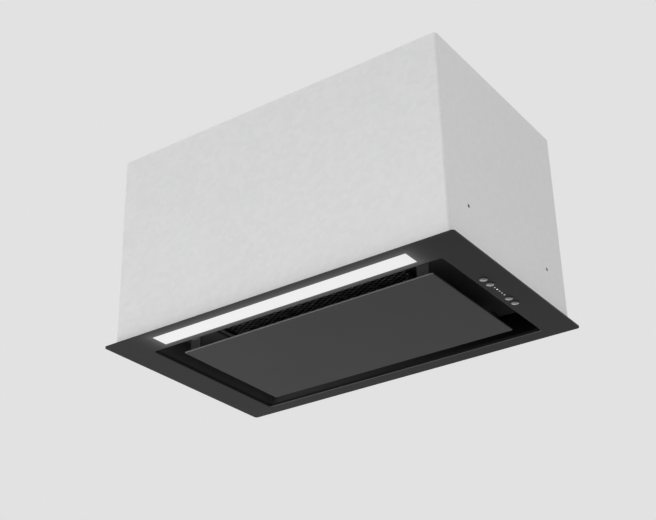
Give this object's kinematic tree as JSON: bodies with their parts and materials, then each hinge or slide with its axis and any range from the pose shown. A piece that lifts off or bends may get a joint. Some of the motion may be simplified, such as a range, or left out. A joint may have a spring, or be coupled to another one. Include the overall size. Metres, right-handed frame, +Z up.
{
  "type": "recessed ceiling range hood",
  "caption": "Recessed ceiling range hood with a flush black trim, a light strip, push buttons and a hinged suction panel over a grease filter and fan.",
  "frame": {"origin": "middle of the trim's upper face, in the ceiling plane", "axes": "+Z up into the ceiling, +X along the long side towards the buttons, +Y from the light strip's side towards the hinge side"},
  "size_m": [0.52, 0.32, 0.3217],
  "materials": {
    "black_trim": "fine satin powder coat",
    "black_panel": "fine satin powder coat",
    "dark_steel": "matte paint",
    "galvanised_housing": "pale zinc-coated sheet",
    "grey_sheet": "matte grey paint",
    "bright_steel": "zinc plated",
    "filter_aluminium": "plain mill finish",
    "motor_casting": "die cast",
    "dark_moulding": "fine moulded grain",
    "pale_moulding": "moulded",
    "fan_moulding": "moulded",
    "bush_rubber": "soft",
    "circuit_board": "coated board",
    "button_metal": "satin turned metal",
    "light_opal": "opal, lit from behind",
    "indicator_opal": "clear, lit from behind"
  },
  "bodies": {
    "hood": {"trim_frame": "black_trim", "housing_shell": "galvanised_housing", "hinge_brackets": "bright_steel", "hinge_pins": "bright_steel", "catch_clips": "bright_steel", "intake_plate": "grey_sheet", "filter_frame": "filter_aluminium", "filter_mesh": "filter_aluminium", "scroll_half_left": "dark_moulding", "scroll_half_right": "dark_moulding", "inlet_ring_left": "dark_moulding", "inlet_ring_right": "dark_moulding", "outlet_adapter": "dark_moulding", "outlet_collar": "dark_moulding", "electronics_box": "dark_moulding", "electronics_lid": "dark_moulding", "button_carrier": "dark_moulding", "cable_gland": "dark_moulding", "motor_can": "motor_casting", "motor_bracket": "bright_steel", "motor_bushes": "bush_rubber", "bush_screws": "bright_steel", "flap_pin": "bright_steel", "lid_screws": "bright_steel", "power_board": "circuit_board", "terminal_block": "pale_moulding", "run_capacitor": "filter_aluminium", "capacitor_strap": "bright_steel", "led_driver": "pale_moulding", "light_diffuser": "light_opal", "light_channel": "filter_aluminium", "led_board": "circuit_board", "switch_board": "circuit_board", "indicator_lens": "indicator_opal", "trim_screws": "bright_steel", "collar_screws": "bright_steel"},
    "panel": {"suction_panel": "black_panel", "panel_back_plate": "dark_steel", "panel_hinge_leaves": "bright_steel", "panel_catch_tabs": "bright_steel"},
    "latch": {"filter_latch": "dark_moulding"},
    "fan": {"fan_impeller": "fan_moulding", "motor_shaft": "bright_steel", "shaft_nut": "bright_steel"},
    "front_flap": {"flap_front": "dark_moulding"},
    "rear_flap": {"flap_rear": "dark_moulding"},
    "light_button": {"button_light": "button_metal"},
    "slower_button": {"button_slower": "button_metal"},
    "faster_button": {"button_faster": "button_metal"},
    "timer_button": {"button_timer": "button_metal"}
  },
  "joints": [
    {"name": "panel_hinge", "type": "hinge", "parent": "hood", "child": "panel", "pos_m": [0, 0.106, 0.014], "axis": [1, 0, 0], "range_deg": [0, 90]},
    {"name": "latch_slide", "type": "slide", "parent": "hood", "child": "latch", "axis": [0, 1, 0], "range_m": [0, 0.005], "stiffness_N_per_m": 300, "springref_m": -0.002},
    {"name": "fan_spin", "type": "hinge", "parent": "hood", "child": "fan", "pos_m": [0, -0.026, 0.144], "axis": [1, 0, 0], "continuous": true},
    {"name": "front_flap_hinge", "type": "hinge", "parent": "hood", "child": "front_flap", "pos_m": [0, 0.0305, 0.29], "axis": [-1, 0, 0], "range_deg": [0, 75]},
    {"name": "rear_flap_hinge", "type": "hinge", "parent": "hood", "child": "rear_flap", "pos_m": [0, 0.0305, 0.29], "axis": [1, 0, 0], "range_deg": [0, 75]},
    {"name": "light_button_press", "type": "slide", "parent": "hood", "child": "light_button", "axis": [0, 0, 1], "range_m": [0, 0.0012], "stiffness_N_per_m": 1600, "springref_m": -0.0003},
    {"name": "slower_button_press", "type": "slide", "parent": "hood", "child": "slower_button", "axis": [0, 0, 1], "range_m": [0, 0.0012], "stiffness_N_per_m": 1600, "springref_m": -0.0003},
    {"name": "faster_button_press", "type": "slide", "parent": "hood", "child": "faster_button", "axis": [0, 0, 1], "range_m": [0, 0.0012], "stiffness_N_per_m": 1600, "springref_m": -0.0003},
    {"name": "timer_button_press", "type": "slide", "parent": "hood", "child": "timer_button", "axis": [0, 0, 1], "range_m": [0, 0.0012], "stiffness_N_per_m": 1600, "springref_m": -0.0003}
  ]
}
